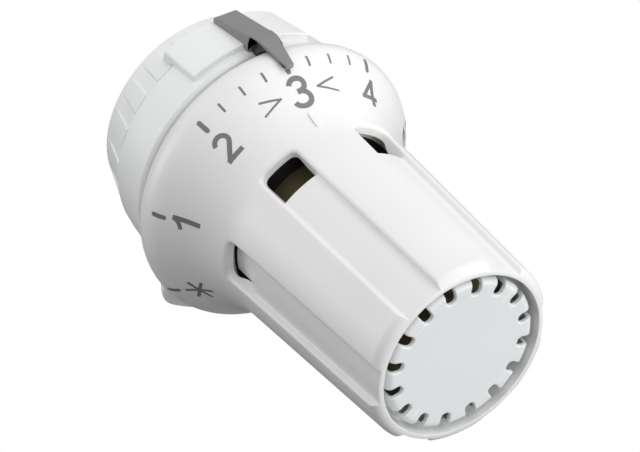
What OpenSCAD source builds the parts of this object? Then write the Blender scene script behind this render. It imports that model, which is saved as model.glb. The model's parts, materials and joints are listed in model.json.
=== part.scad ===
// Thermostatic radiator valve head.
//
// Every module is drawn about a local +Z axis: z = 0 is the rear mouth of the valve
// thread and z grows towards the end cap. placed() lays that axis along -Y, so the
// pointer ends up on +Z. Dial angles are read clockwise from the pointer, seen from the
// end cap.

/* [Dial setting] */
// How far the handle is turned anticlockwise from number 3, in degrees
rest_turn = 0; // [-77:1:77]

/* [Handle] */
// Widest radius of the dial skirt
dial_r = 25.95; // [25.5:0.05:26.5]
// Radius of the rounding round the widest part of the dial
dial_round_r = 4.8; // [4.6:0.1:5]
// Slope of the dial's cone from the axis, in degrees
cone_angle = 38.5; // [37:0.5:40]
// Length of the straight part of the cone, along the axis
cone_len = 2.7; // [2.4:0.1:3]
// Radius of the hollow curve from the cone into the barrel
flare_r = 18.3; // [17.8:0.1:18.8]
// Draft of the barrel, in degrees
barrel_draft = 2; // [1.7:0.1:2.2]
// Overall length from the thread mouth to the front rim
overall_len = 79.25; // [79:0.25:80]
// Inner radius of the front rim
rim_bore_r = 15.4; // [15.2:0.1:15.5]
// Rounding of the front rim's outer edge
rim_round_r = 2; // [1.2:0.1:2.2]

/* [Windows and grooves] */
// Arc of one window, in degrees
window_arc = 24; // [18:0.5:24.5]
// Rear edge of the windows, along the axis
window_rear_z = 37.75; // [37.5:0.25:38.5]
// Front edge of the windows, along the axis
window_front_z = 44; // [43:0.25:45]
// Arc of each of the two tongues that stand in the side windows, in degrees
tongue_arc = 21; // [16:1:21]
// Arc of one groove, in degrees
groove_arc = 25; // [25:0.5:28]
// Depth of the grooves
groove_depth = 1.2; // [0.6:0.1:1.2]

/* [End cap] */
// Outer radius of the cap's skirt
cap_r = 14.4; // [14.2:0.1:14.5]
// Rounding of the cap's shoulder
cap_round_r = 1.2; // [0.8:0.1:1.4]
// Number of vent notches round the cap
notch_count = 16; // [12:1:20]
// Width of a vent notch
notch_w = 1.9; // [1.5:0.1:2.2]
// Distance from the axis to the inner end of a notch
notch_inner_r = 11.6; // [11:0.1:12]

/* [Base] */
// Radius of the base where it meets the coupling ring
base_rear_r = 21.9; // [21.8:0.1:22.2]
// Radius of the base beside the dial
base_front_r = 23.3; // [23:0.1:23.5]
// Radius of the collar that the dial turns on
collar_r = 22.7; // [22.6:0.1:22.8]
// Arc of the raised pad under the pointer, in degrees
top_pad_arc = 57; // [50:1:70]
// Arc of the flared lip at the bottom, in degrees
low_lip_arc = 89; // [60:1:90]
// Arc of the thick middle of the lip, which holds the limit pins, in degrees
low_pad_arc = 50; // [44:1:60]

/* [Valve connection] */
// Minor radius of the M30 x 1.5 thread
thread_r = 14.19; // [14.15:0.01:14.25]
// Length of the thread
thread_len = 7; // [6:0.5:7]
// Radius of the bore in the seat for the valve's gland
gland_r = 10.2; // [9.5:0.1:10.4]

/* [Grip ring] */
// Outer radius of the grip ring at the thread mouth
ring_rear_r = 18.75; // [18.5:0.05:19.5]
// Outer radius of the grip ring beside the base
ring_front_r = 21.65; // [21.4:0.05:21.7]
// Number of grip flutes
flute_count = 18; // [12:2:20]
// Depth of a flute
flute_depth = 0.6; // [0.3:0.1:0.9]
// Dial angle of the first flute, in degrees
flute_start = 13; // [0:1:20]

/* [Sensor] */
// Outer radius of the sensor can
can_r = 11.6; // [11:0.1:11.6]
// Front end of the sensor can
can_front_z = 71.5; // [68:0.5:72]
// Radius of the push rod
rod_r = 2.4; // [2:0.1:2.4]
// Rear end of the thrust cup, which touches the valve's pin
cup_rear_z = 20.5; // [20.2:0.1:20.8]

/* [Hidden] */
$fn = 96;

white = "#f2f3f3";
cool_grey = "#dfe3e5";
dark_grey = "#7c7f81";
black = "#33353a";
steel = "#b9bcc0";
brass = "#b5914f";
bronze = "#a9855a";

cut = 1;             // how far a cutting tool runs past the solid
gap = 0.3;           // clearance between parts that move past each other
running = 0.05;      // clearance of a rod in its guide
arc_steps = 8;       // straight steps in one arc of an outline
spring_rings = 24;   // rings in one turn of a spring
wire_sides = 8;      // sides of a spring's wire

// Valve connection and base
seat_z = 8;
flange_r = 14;
flange_t = 1.6;
sleeve_r = 12.2;
insert_r = 16.6;
insert_len = 11.5;
undercut_r = 15.2;
lip_z = seat_z + flange_t + gap;
lip_r = sleeve_r + gap;
ring_len = 8.6;
base_rear_z = ring_len + gap;
base_web_z = insert_len + 0.5;
base_deck_z = 15;
base_edge_z = 18.5;
base_flare = 0.4;
base_round_r = 0.8;
base_pocket_r = insert_r + 0.4;
collar_in_r = 20.2;
collar_front_z = 23;
wire_z = 21.5;
wire_r = 0.7;
pad_rear_z = 5.75;
pad_front_z = 16;
pad_foot_r = 21.5;
pad_under_rear_r = ring_front_r - 0.55;
pad_under_front_r = ring_front_r + 0.4;
low_pad_front_z = 19.2;
low_lip_rear_r = 23.2;
low_lip_rear_z = 11.5;
low_lip_front_r = 29.3;
pin_r = 1;
pin_len = 8;
pin_pitch_r = 23.1;
pin_angle = 15;

// Range stop: a lug in the handle runs between the ends of a raised arc on the collar
stop_arc = 149;
stop_angle = 177.2;
stop_top_z = 25.2;
stop_out_r = 22.5;
lug_arc = 8;
lug_angle = -23;
lug_in_r = 19.7;
lug_rear_z = 24;

// Handle outline, worked out from the driving dimensions
dial_rear_z = 19.6;
dial_bore_r = collar_r + gap;
dial_cavity_r = 22.8;
dial_cavity_z = 26.2;
cavity_middle_r = 21;
cavity_middle_z = 28.2;
cavity_neck_r = 19;
cavity_neck_z = 31;
round_centre_r = dial_r - dial_round_r;
round_centre_z = dial_rear_z + 4.2;
round_start = -asin((round_centre_z - dial_rear_z) / dial_round_r);
cone_start_z = round_centre_z + dial_round_r * sin(cone_angle);
cone_start_r = round_centre_r + dial_round_r * cos(cone_angle);
flare_start_z = cone_start_z + cone_len;
flare_start_r = cone_start_r - cone_len * tan(cone_angle);
flare_centre_z = flare_start_z + flare_r * sin(cone_angle);
flare_centre_r = flare_start_r + flare_r * cos(cone_angle);
barrel_z = flare_centre_z - flare_r * sin(barrel_draft);
barrel_r = flare_centre_r - flare_r * cos(barrel_draft);
groove_front_z = overall_len + cut;
rim_round_z = overall_len - rim_round_r;
window_count = 6;
shell_bore_r = 16.4;
sleeve_seat_z = 33.5;
sleeve_front_z = 36.3;
relief_r = 17.4;
relief_z = 37;
relief_len = 2;
tongue_out_r = 16;
tongue_t = 1;
sleeve_rear_z = 24;
sleeve_bore_r = 14.6;
web_z = 73.5;
web_t = 1.5;
cap_face_z = overall_len - 0.25;
cap_rear_z = 71;
cap_t = 1.4;
cap_wall = 1.2;
notch_rear_z = web_z + web_t + 0.4;

// Guide cage, carriage and sensor
arm_count = 4;
arm_arc = 22;
arm_in_r = 12.5;
arm_out_r = 14.2;
arm_front_z = 36.4;
cage_t = 3;
cage_bore_r = 11;
carriage_r = sleeve_bore_r - 0.2;
carriage_z = 27;
carriage_floor_z = 31;
can_rear_z = 33;
carriage_front_z = 35.5;
carriage_hole_r = 6.5;
can_wall = 0.5;
plate_t = 2;
hub_r = 4.2;
hub_len = 6;
bellows_z = can_rear_z + plate_t;
bellows_front_z = 58;
bellows_out_r = 9.4;
bellows_in_r = 7.2;
bellows_wall = 0.4;
bellows_folds = 8;
cap_plate_t = 1.6;
cup_r = 4.8;
cup_wall = 1;
cup_floor_t = 1.6;
cup_len = 8.5;
rod_collar_r = 3.4;
rod_collar_t = 0.9;
rod_rear_z = cup_rear_z + 6.3;
retainer_t = 1.1;
return_spring_r = 5.5;
return_wire_r = 0.5;
return_turns = 9;
over_spring_r = 3.1;
over_wire_r = 0.4;
over_turns = 4;

module placed() {
    rotate([90, 0, 0]) children();
}

// Places a part that turns with the dial
module turned() {
    placed() rotate([0, 0, rest_turn]) children();
}

// Turns an outline through an arc whose middle is at the given dial angle
module sector(angle, arc) {
    rotate([0, 0, 90 - angle - arc / 2]) rotate_extrude(angle = arc) children();
}

// Rectangle in the (radius, axis) plane
module block(r_in, r_out, z_from, z_to) {
    translate([r_in, z_from]) square([r_out - r_in, z_to - z_from]);
}

module disc(r, z_from, z_to) {
    translate([0, 0, z_from]) cylinder(r = r, h = z_to - z_from);
}

module tube(r_in, r_out, z_from, z_to) {
    difference() {
        disc(r_out, z_from, z_to);
        disc(r_in, z_from - cut, z_to + cut);
    }
}

// Compression spring of round wire, swept along its helix
module spring(mean_r, wire, z_from, z_to, turns) {
    steps = turns * spring_rings;
    rise = (z_to - z_from - 2 * wire) / steps;
    points = [for (i = [0 : steps]) for (s = [0 : wire_sides - 1])
        let (a = 360 * i / spring_rings, b = 360 * s / wire_sides, r = mean_r + wire * cos(b))
            [r * cos(a), r * sin(a), z_from + wire + i * rise + wire * sin(b)]];
    sides = [for (i = [0 : steps - 1]) for (s = [0 : wire_sides - 1])
        let (a = i * wire_sides + s, b = i * wire_sides + (s + 1) % wire_sides)
            each [[a, b, a + wire_sides], [b, b + wire_sides, a + wire_sides]]];
    ends = [[for (s = [wire_sides - 1 : -1 : 0]) s],
        [for (s = [0 : wire_sides - 1]) steps * wire_sides + s]];
    polyhedron(points = points, faces = concat(sides, ends));
}

// Points of an arc in the (radius, axis) plane, with 0 degrees along the radius.
// A negative r bends the outline the other way.
function arc_points(centre_r, centre_z, r, from, to, steps = arc_steps) =
    [for (i = [0 : steps]) let (a = from + (to - from) * i / steps)
        [centre_r + r * cos(a), centre_z + r * sin(a)]];

function barrel_radius(z) = barrel_r - (z - barrel_z) * tan(barrel_draft);

handle_outline = concat(
    [[0, dial_rear_z]],
    arc_points(round_centre_r, round_centre_z, dial_round_r, round_start, cone_angle),
    arc_points(flare_centre_r, flare_centre_z, -flare_r, cone_angle, barrel_draft),
    arc_points(barrel_radius(rim_round_z) - rim_round_r, rim_round_z, rim_round_r, 0, 90, 4),
    [[0, overall_len]]
);

// Space inside the handle: collar bore with its wire groove, cone, then the barrel
handle_hollow = [
    [0, dial_rear_z - cut],
    [dial_bore_r, dial_rear_z - cut],
    [dial_bore_r, wire_z - 0.9],
    [dial_bore_r + 0.7, wire_z - 0.9],
    [dial_bore_r + 0.7, wire_z + 0.9],
    [dial_bore_r, wire_z + 0.9],
    [dial_bore_r, collar_front_z + 0.6],
    [dial_cavity_r, collar_front_z + 0.6],
    [dial_cavity_r, dial_cavity_z],
    [cavity_middle_r, cavity_middle_z],
    [cavity_neck_r, cavity_neck_z],
    [relief_r, sleeve_seat_z],
    [shell_bore_r, sleeve_seat_z],
    [shell_bore_r, sleeve_front_z + gap],
    [relief_r, relief_z],
    [relief_r, relief_z + relief_len],
    [shell_bore_r, relief_z + 2 * relief_len],
    [rim_bore_r, web_z],
    [rim_bore_r, overall_len + cut],
    [0, overall_len + cut]
];

// Springy tongue that reaches back under a side window from the front of the hole
module tongue(angle) {
    root_z = window_front_z + 2 * tongue_t;
    sector(angle, tongue_arc) polygon([
        [tongue_out_r - tongue_t, window_rear_z],
        [tongue_out_r, window_rear_z],
        [tongue_out_r, window_front_z - tongue_t],
        [shell_bore_r, root_z],
        [shell_bore_r, root_z + tongue_t],
        [tongue_out_r - tongue_t, root_z]
    ]);
}

module handle_shell() {
    color(white) turned() for (angle = [-90, 90]) tongue(angle);
    color(white) turned() difference() {
        union() {
            difference() {
                rotate_extrude() polygon(handle_outline);
                rotate_extrude() polygon(handle_hollow);
            }
            tube(cap_r, rim_bore_r + 0.1, web_z, web_z + web_t);
            sector(lug_angle, lug_arc)
                block(lug_in_r, dial_cavity_r + 0.2, lug_rear_z, dial_cavity_z);
        }
        for (i = [0 : window_count - 1]) {
            angle = (i + 0.5) * 360 / window_count;
            sector(angle, window_arc)
                block(rim_bore_r - cut, dial_r, window_rear_z, window_front_z);
            sector(angle, groove_arc)
                polygon([
                    [barrel_radius(window_front_z) - groove_depth, window_front_z],
                    [dial_r, window_front_z],
                    [dial_r, groove_front_z],
                    [barrel_radius(groove_front_z) - groove_depth, groove_front_z]
                ]);
        }
    }
}

module thread_sleeve() {
    color(black) turned() {
        tube(sleeve_bore_r, shell_bore_r, sleeve_seat_z, sleeve_front_z);
        tube(sleeve_bore_r, shell_bore_r - gap, sleeve_rear_z, sleeve_seat_z);
    }
}

module end_cap() {
    shoulder = arc_points(cap_r - cap_round_r, cap_face_z - cap_round_r, cap_round_r, 0, 90, 4);
    color(cool_grey) turned() difference() {
        rotate_extrude() polygon(concat(
            [[cap_r - cap_wall, cap_rear_z], [cap_r, cap_rear_z]],
            shoulder,
            [[0, cap_face_z], [0, cap_face_z - cap_t], [cap_r - cap_wall, cap_face_z - cap_t]]
        ));
        for (i = [0 : notch_count - 1])
            rotate([0, 0, (i + 0.5) * 360 / notch_count]) {
                translate([notch_inner_r + notch_w / 2, 0, notch_rear_z])
                    cylinder(d = notch_w, h = cap_face_z, $fn = 24);
                translate([notch_inner_r + notch_w / 2, -notch_w / 2, notch_rear_z])
                    cube([cap_r, notch_w, cap_face_z]);
            }
    }
}

// Raised pad, with an underside that clears the grip ring
module pad(angle, arc, rear_r, front_r, front_z) {
    sector(angle, arc) polygon([
        [pad_under_rear_r, pad_rear_z],
        [rear_r, pad_rear_z],
        [front_r, front_z],
        [pad_foot_r, front_z],
        [pad_foot_r, base_rear_z],
        [pad_under_front_r, base_rear_z]
    ]);
}

// Flared lip behind the dial at the bottom
module low_lip() {
    sector(180, low_lip_arc) polygon([
        [pad_foot_r, low_lip_rear_z],
        [low_lip_rear_r, low_lip_rear_z],
        [low_lip_front_r, low_pad_front_z],
        [pad_foot_r, low_pad_front_z]
    ]);
}

module limit_pin_places() {
    for (side = [-1, 1])
        rotate([0, 0, -90 + side * pin_angle]) translate([pin_pitch_r, 0, 0]) children();
}

module base_housing() {
    color(white) placed() difference() {
        union() {
            rotate_extrude() polygon(concat(
                [[base_pocket_r, base_rear_z], [base_rear_r, base_rear_z]],
                [[base_front_r - base_flare, base_deck_z]],
                arc_points(base_front_r - base_round_r, base_edge_z - base_round_r,
                    base_round_r, 0, 80, 4),
                [[collar_r, base_edge_z], [collar_r, collar_front_z]],
                [[collar_in_r, collar_front_z], [collar_in_r, base_deck_z]],
                [[sleeve_r, base_deck_z], [sleeve_r, base_web_z], [base_pocket_r, base_web_z]]
            ));
            pad(0, top_pad_arc, 22.5, 24.1, pad_front_z);
            pad(180, low_pad_arc, 25, low_lip_front_r, low_pad_front_z);
            low_lip();
            sector(stop_angle, stop_arc)
                block(collar_in_r, stop_out_r, collar_front_z - 0.1, stop_top_z);
        }
        tube(collar_r - 0.9, dial_r, wire_z - wire_r - 0.1, wire_z + wire_r + 0.1);
        limit_pin_places() disc(pin_r, pad_rear_z - cut, pad_rear_z + pin_len);
        pointer_solid();
    }
}

// Wedge that stands on the upper pad, arches over the seam and ends above the dial
module pointer_solid() {
    intersection() {
        rotate([0, -90, 0]) linear_extrude(height = 8, center = true) polygon([
            [6.3, 22], [6.3, 23.5], [20, 27.3], [27.3, 26.4], [27.6, 25.9], [27.3, 25.5],
            [25.2, 26.3], [22, 26.6], [19.4, 26.5], [17.9, 26.1], [17.2, 24.9], [16, 23.6],
            [14.8, 23.2]
        ]);
        rotate([90, 0, 0]) linear_extrude(height = 80, center = true) polygon([
            [-2.35, 6.3], [2.35, 6.3], [1.8, 20], [0.8, 27.6], [-0.8, 27.6], [-1.8, 20]
        ]);
    }
}

module pointer() {
    color(dark_grey) placed() pointer_solid();
}

module seat_sleeve() {
    color(steel) placed() {
        tube(gland_r, flange_r, seat_z, seat_z + flange_t);
        tube(gland_r, sleeve_r, seat_z + flange_t, base_deck_z);
    }
}

module guide_cage() {
    color(black) placed() {
        tube(cage_bore_r, collar_in_r, base_deck_z, base_deck_z + cage_t);
        for (i = [0 : arm_count - 1])
            sector(i * 360 / arm_count, arm_arc)
                block(arm_in_r, arm_out_r, base_deck_z + cage_t - 0.1, arm_front_z);
    }
}

module retaining_wire() {
    color(steel) placed()
        sector(0, 330) translate([collar_r - 0.1, wire_z]) circle(r = wire_r, $fn = 24);
}

module limit_pins() {
    color(dark_grey) placed() limit_pin_places() {
        disc(pin_r - running, pad_rear_z, pad_rear_z + pin_len - cut);
        disc(pin_r + 0.5, pad_rear_z - 0.9, pad_rear_z);
    }
}

module grip_ring() {
    color(white) placed() difference() {
        rotate_extrude() polygon([
            [insert_r, 0], [ring_rear_r - 0.5, 0], [ring_rear_r, 0.5],
            [ring_front_r, ring_len], [insert_r, ring_len]
        ]);
        for (i = [0 : flute_count - 1])
            sector(flute_start + i * 360 / flute_count, 180 / flute_count) polygon([
                [ring_rear_r - flute_depth - 0.3, -cut],
                [ring_front_r + cut, -cut],
                [ring_front_r + cut, ring_len + cut],
                [ring_front_r - flute_depth + 0.35, ring_len + cut]
            ]);
    }
}

module nut_insert() {
    color(brass) placed() rotate_extrude() polygon([
        [thread_r, 0], [insert_r, 0], [insert_r, insert_len], [lip_r, insert_len],
        [lip_r, lip_z], [undercut_r, lip_z], [undercut_r, thread_len], [thread_r, thread_len]
    ]);
}

module carriage_nut() {
    color(black) placed() difference() {
        disc(carriage_r, carriage_z, carriage_front_z);
        disc(can_r, can_rear_z, carriage_front_z + cut);
        disc(carriage_hole_r, carriage_z - cut, can_rear_z + cut);
        disc(cage_bore_r, carriage_z - cut, carriage_floor_z);
        for (i = [0 : arm_count - 1])
            sector(i * 360 / arm_count, arm_arc + 2)
                block(arm_in_r - gap, carriage_r + cut, carriage_z - cut, carriage_front_z + cut);
        for (z = [carriage_z + 1 : 2 : carriage_front_z - 1])
            tube(carriage_r - 0.6, carriage_r + cut, z, z + 0.9);
    }
}

module sensor_can() {
    shoulder_r = 1.6;
    color(brass) placed() rotate_extrude() polygon(concat(
        [[can_r, can_rear_z]],
        arc_points(can_r - shoulder_r, can_front_z - shoulder_r, shoulder_r, 0, 90, 4),
        [[0, can_front_z], [0, can_front_z - can_wall]],
        arc_points(can_r - shoulder_r, can_front_z - shoulder_r, shoulder_r - can_wall, 90, 0, 4),
        [[can_r - can_wall, can_rear_z]]
    ));
}

module can_base() {
    color(brass) placed() {
        tube(rod_r + running, can_r - can_wall, can_rear_z, bellows_z);
        tube(rod_r + running, hub_r, bellows_z, bellows_z + hub_len);
    }
}

module filling_plug() {
    color(steel) placed() {
        disc(2.2, can_front_z, can_front_z + 2);
        disc(1.2, can_front_z + 2, can_front_z + 2.7);
    }
}

// Points down one side of the folded tube, at a given offset along the radius
function fold_points(offset) =
    [for (i = [0 : 2 * bellows_folds])
        [(i % 2 == 0 ? bellows_in_r : bellows_out_r) + offset,
            bellows_z + (bellows_front_z - bellows_z) * i / (2 * bellows_folds)]];

function reversed(list) = [for (i = [len(list) - 1 : -1 : 0]) list[i]];

module bellows() {
    color(bronze) placed() rotate_extrude()
        polygon(concat(fold_points(0), reversed(fold_points(-bellows_wall))));
}

module bellows_spring() {
    color(steel) placed()
        spring(return_spring_r, return_wire_r, bellows_z, bellows_front_z, return_turns);
}

module bellows_cap() {
    color(bronze) placed()
        tube(rod_r, bellows_in_r + 1, bellows_front_z, bellows_front_z + cap_plate_t);
}

module plunger_rod() {
    color(steel) placed() {
        disc(rod_r, rod_rear_z + rod_collar_t, bellows_front_z + cap_plate_t);
        disc(rod_collar_r, rod_rear_z, rod_rear_z + rod_collar_t);
    }
}

module thrust_cup() {
    color(brass) placed() difference() {
        disc(cup_r, cup_rear_z, cup_rear_z + cup_len);
        disc(cup_r - cup_wall, cup_rear_z + cup_floor_t, cup_rear_z + cup_len + cut);
    }
}

module cup_retainer() {
    color(steel) placed()
        tube(rod_r + 0.2, cup_r - cup_wall, cup_rear_z + cup_len - retainer_t, cup_rear_z + cup_len);
}

module overtravel_spring() {
    color(steel) placed()
        spring(over_spring_r, over_wire_r, cup_rear_z + cup_floor_t, rod_rear_z, over_turns);
}

base_housing();
pointer();
seat_sleeve();
guide_cage();
retaining_wire();
limit_pins();
grip_ring();
nut_insert();
handle_shell();
thread_sleeve();
end_cap();
carriage_nut();
sensor_can();
can_base();
filling_plug();
bellows();
bellows_spring();
bellows_cap();
plunger_rod();
thrust_cup();
cup_retainer();
overtravel_spring();
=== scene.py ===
"""Thermostatic radiator valve head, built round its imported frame.

Sizes are millimetres in the head's own frame: z runs along the axis from the thread
mouth to the end cap, and dial angles run clockwise from the pointer, seen from the end
cap. at() turns them into the row frame, in metres.
"""
import bpy
import bmesh
import json
import math
import numpy as np
from mathutils import Matrix, Vector
from mathutils.geometry import delaunay_2d_cdt


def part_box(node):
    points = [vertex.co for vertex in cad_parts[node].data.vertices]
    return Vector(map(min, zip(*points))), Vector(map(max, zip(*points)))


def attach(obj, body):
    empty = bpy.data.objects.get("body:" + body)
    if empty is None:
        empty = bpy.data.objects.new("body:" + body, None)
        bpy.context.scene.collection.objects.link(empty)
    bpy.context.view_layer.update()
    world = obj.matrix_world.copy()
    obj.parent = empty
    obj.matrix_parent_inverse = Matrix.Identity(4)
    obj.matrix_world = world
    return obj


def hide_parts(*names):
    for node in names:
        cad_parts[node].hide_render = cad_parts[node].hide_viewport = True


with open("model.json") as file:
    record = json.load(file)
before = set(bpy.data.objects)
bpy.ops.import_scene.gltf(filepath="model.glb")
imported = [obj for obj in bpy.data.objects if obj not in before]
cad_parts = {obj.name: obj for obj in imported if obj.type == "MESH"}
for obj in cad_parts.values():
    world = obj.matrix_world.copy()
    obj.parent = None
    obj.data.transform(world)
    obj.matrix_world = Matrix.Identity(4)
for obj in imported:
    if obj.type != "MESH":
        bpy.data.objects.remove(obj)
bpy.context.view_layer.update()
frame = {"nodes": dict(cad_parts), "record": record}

MM = 0.001
SEGMENTS = 240

# Handle: dial, cone, curved neck and tapered barrel
OVERALL = -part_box("handle_shell")[0].y / MM
DIAL_REAR = -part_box("handle_shell")[1].y / MM
DIAL_R = 25.95
ROUND_R = 4.8
ROUND_RISE = 4.2
CONE = math.radians(38.5)
CONE_LEN = 2.7
FLARE_R = 18.3
DRAFT = math.radians(2)
RIM_ROUND = 2.0
RIM_BORE = 15.4
BORE_R = 16.4
RELIEF_R = 17.4
RELIEF_Z = 37.0
RELIEF_LEN = 2.0
RELIEF_STEP = 0.4
WEB_Z = 73.5
BORE_END = 70
DIAL_BORE_R = 23.0
CAVITY_R = 22.8
WIRE_GROOVE_R = 23.7
WIRE_Z = 21.5

# Windows and the grooves that run on from them
WINDOWS = 6
WINDOW_REAR = 37.75
WINDOW_FRONT = 44.0
GROOVE_DEPTH = 1.2
GROOVE_HALF = 3.9
CORNER_R = 1.4
TONGUE_R = 16.3
TONGUE_ARC = 25.4
LUG_CW = -23
LUG_ARC = 8

# Dial markings
NUMBER_STEP = 40.3
TICK_V = 8.75
TICK_LEN = 1.85
INK_HEIGHT = 0.035
INK_SINK = 0.02
MARK_STEP = 0.3

# End cap
CAP_FACE = OVERALL - 0.25
CAP_REAR = 71.0
CAP_R = 14.4
CAP_ROUND = 1.2
CAP_WALL = 0.7
NOTCHES = 16
NOTCH_HALF = 0.95
NOTCH_END = 11.6
NOTCH_FOOT = 75.4
NOTCH_LIP = 0.25

# Base, its pads and the pointer
SEAT_Z = 8.0
DECK_Z = 15.0
BASE_REAR = 8.9
COLLAR_R = 20.2
PAD_FOOT_R = 21.5
PAD_Z = (5.75, 16)
PAD_R = (22.5, 24.1)
PAD_ARC = 57
PAD_SPLAY = (0.35, 0)
LOW_PAD_ARC = 50
STOP_CW = 177.2
STOP_ARC = 149
FLANGE_R = 12.2
LIP_R = 29.2
LIP_FOOT_R = 21.8
LIP_FRONT_Z = 19.15
LIP_ARC = 88.5
LIP_CORNER = 5.2
POINTER_REAR = 6.3
POINTER_BEND = 20
POINTER_R = 27.3
POINTER_EDGE = 0.3
# Half width of the black web that paints the deep shade under the pointer's arch
POINTER_SHADE_WEB = 1.35
POINTER_TIP = 27.6

# Coupling
RING_LEN = 8.6
RING_REAR_R = 18.75
RING_FRONT_R = 21.65
RING_BEVEL = 0.5
RING_STEP_R = 17.6
RING_WEB_R = 20.6
NUT_R = 16.6
FLUTES = 20
FLUTE_START = 10
FLUTE_HALF = 4.1
FLUTE_DEPTH = 0.28
FLUTE_FADE = (0.9, 4.5)
FLUTE_LIP = 0.12
FLUTE_FOOT = 0.08
THREAD_R = 14.19
THREAD_DEPTH = 0.81
THREAD_PITCH = 1.5

# Inner works
CARRIAGE_Z = 27.0
CARRIAGE_FRONT = 35.5
SLEEVE_BORE_R = 14.6
SLEEVE_PITCH = 2
SLEEVE_STARTS = 4
SLEEVE_THREAD_DEPTH = 0.7
SLEEVE_STEP_Z = 33.5
CAN_REAR = 33.0
CAN_R = 11.6
CAN_BORE_R = 11.1
CAN_FRONT = 71.5
BELLOWS_Z = 35.0
BELLOWS_FRONT = 58.0
LID_FRONT = 59.6
FOLDS = 8
CUP_Z = 20.5
CUP_FLOOR = 1.6
CUP_FRONT = 29.0
ROD_REAR = CUP_Z + 6.3
ROD_R = 2.4

# Camera frame, in the row frame, and the light of the room
CENTRE = np.array([0, -26.5, 0])
RIGHT = np.array([0.8309, -0.5558, 0.0267])
UP = np.array([0.3235, 0.5216, 0.7895])
BACK = np.cross(RIGHT, UP)
CAMERA_PLACE = (6.213, -6.392, 1010.764)
LENS = 337.5
FLOOR_Z = -0.2
SKY_AXIS = (0.3, -0.1, 0.95)
SKY_DARK = -0.8
SKY_HIGH = 1.1


# ---------------------------------------------------------------- meshes

def at(r, cw, z):
    """Row-frame points in metres from radius and axis in mm and a dial angle in degrees."""
    r, cw, z = np.broadcast_arrays(np.asarray(r, float), np.radians(cw), np.asarray(z, float))
    return np.stack([r * np.sin(cw), -z, r * np.cos(cw)], -1) * MM


def piece(name, verts, faces, body, slot, *nodes, weighted=True):
    """A smooth-shaded mesh with outward normals that rides on a body and stands for CAD nodes."""
    mesh = bpy.data.meshes.new(name)
    mesh.from_pydata(np.asarray(verts, float).tolist(), [], [list(f) for f in faces])
    bm = bmesh.new()
    bm.from_mesh(mesh)
    bmesh.ops.remove_doubles(bm, verts=bm.verts, dist=2e-6)
    loose = [v for v in bm.verts if not v.link_faces]
    bmesh.ops.delete(bm, geom=loose, context="VERTS")
    bmesh.ops.recalc_face_normals(bm, faces=bm.faces)
    for f in bm.faces:
        f.smooth = True
    for e in bm.edges:
        e.smooth = len(e.link_faces) != 2 or e.calc_face_angle(0) < math.radians(40)
    bm.to_mesh(mesh)
    bm.free()
    return finished(bpy.data.objects.new(name, mesh), body, slot, *nodes, weighted=weighted)


def finished(obj, body, slot, *nodes, weighted=True):
    """Links an object, gives it its material and fixes it to its body."""
    bpy.context.scene.collection.objects.link(obj)
    obj.data.materials.clear()
    obj.data.materials.append(MATERIALS[slot])
    if weighted:
        normals = obj.modifiers.new("Weighted normals", "WEIGHTED_NORMAL")
        normals.keep_sharp = True
    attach(obj, body)
    if nodes:
        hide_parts(*nodes)
    return obj


def joined(*parts):
    """Several (vertices, faces) as one."""
    verts, faces, base = [], [], 0
    for v, f in parts:
        verts.append(np.asarray(v, float).reshape(-1, 3))
        faces += [[i + base for i in face] for face in f]
        base += len(verts[-1])
    return np.concatenate(verts), faces


def grid(points, wrap_rows=True, wrap_cols=True, keep=None):
    """(vertices, faces) of a grid of points, rows by columns, without the faces that keep drops."""
    rows, cols = points.shape[:2]
    faces = []
    for i in range(rows if wrap_rows else rows - 1):
        for j in range(cols if wrap_cols else cols - 1):
            k, m = (i + 1) % rows, (j + 1) % cols
            if keep is None or keep(i, j, k, m):
                faces.append([i * cols + j, i * cols + m, k * cols + m, k * cols + j])
    return points.reshape(-1, 3), faces


def rounded(points, radius=0.25, steps=4, closed=True):
    """An outline with rounded corners. A point may carry its own radius as a third number."""
    out, n = [], len(points)
    for i, p in enumerate(points):
        r = p[2] if len(p) > 2 else radius
        here = Vector(p[:2])
        if r == 0 or (not closed and i in (0, n - 1)):
            out.append(tuple(here))
            continue
        a = Vector(points[i - 1][:2]) - here
        b = Vector(points[(i + 1) % n][:2]) - here
        room = 0.49 * min(a.length, b.length)
        a.normalize()
        b.normalize()
        half = a.angle(b) / 2
        if half > math.radians(88):
            out.append(tuple(here))
            continue
        reach = min(r / math.tan(half), room)
        r = reach * math.tan(half)
        centre = here + (a + b).normalized() * (r / math.sin(half))
        first, last = here + a * reach - centre, here + b * reach - centre
        turn = first.angle(last)
        for t in np.linspace(0, 1, steps + 1):
            v = (first * math.sin((1 - t) * turn) + last * math.sin(t * turn)) / math.sin(turn)
            out.append(tuple(centre + v))
    return out


def perforated(points, gone, wrap_rows=True):
    """A grid without the faces whose four corners are all gone."""
    return grid(points, wrap_rows, keep=lambda i, j, k, m: not (
        gone[i, j] and gone[i, m] and gone[k, m] and gone[k, j]))


def capped(loops):
    """Loops of points joined in a row, with a face over each end."""
    verts, faces = grid(np.array(loops), wrap_rows=False)
    n = len(loops[0])
    last = (len(loops) - 1) * n
    return verts, faces + [list(range(n)), list(range(last, last + n))]


def turned(profile, cw):
    """Points of an outline of (radius, axis) at each of the dial angles."""
    p = np.array(profile)
    return at(p[:, :1], np.asarray(cw)[None, :], p[:, 1:2])


def spun(profile, closed=True, segments=SEGMENTS):
    """A surface of revolution from (radius, axis) points."""
    return grid(turned(profile, np.arange(segments) * 360 / segments), wrap_rows=closed)


def mirrored(side):
    """Stations across a recess from its distances inside one edge, and the side each is on."""
    stations = np.concatenate([side, side[-2::-1]])
    signs = np.concatenate([-np.ones(len(side)), np.ones(len(side) - 1)])
    return stations, signs


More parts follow.
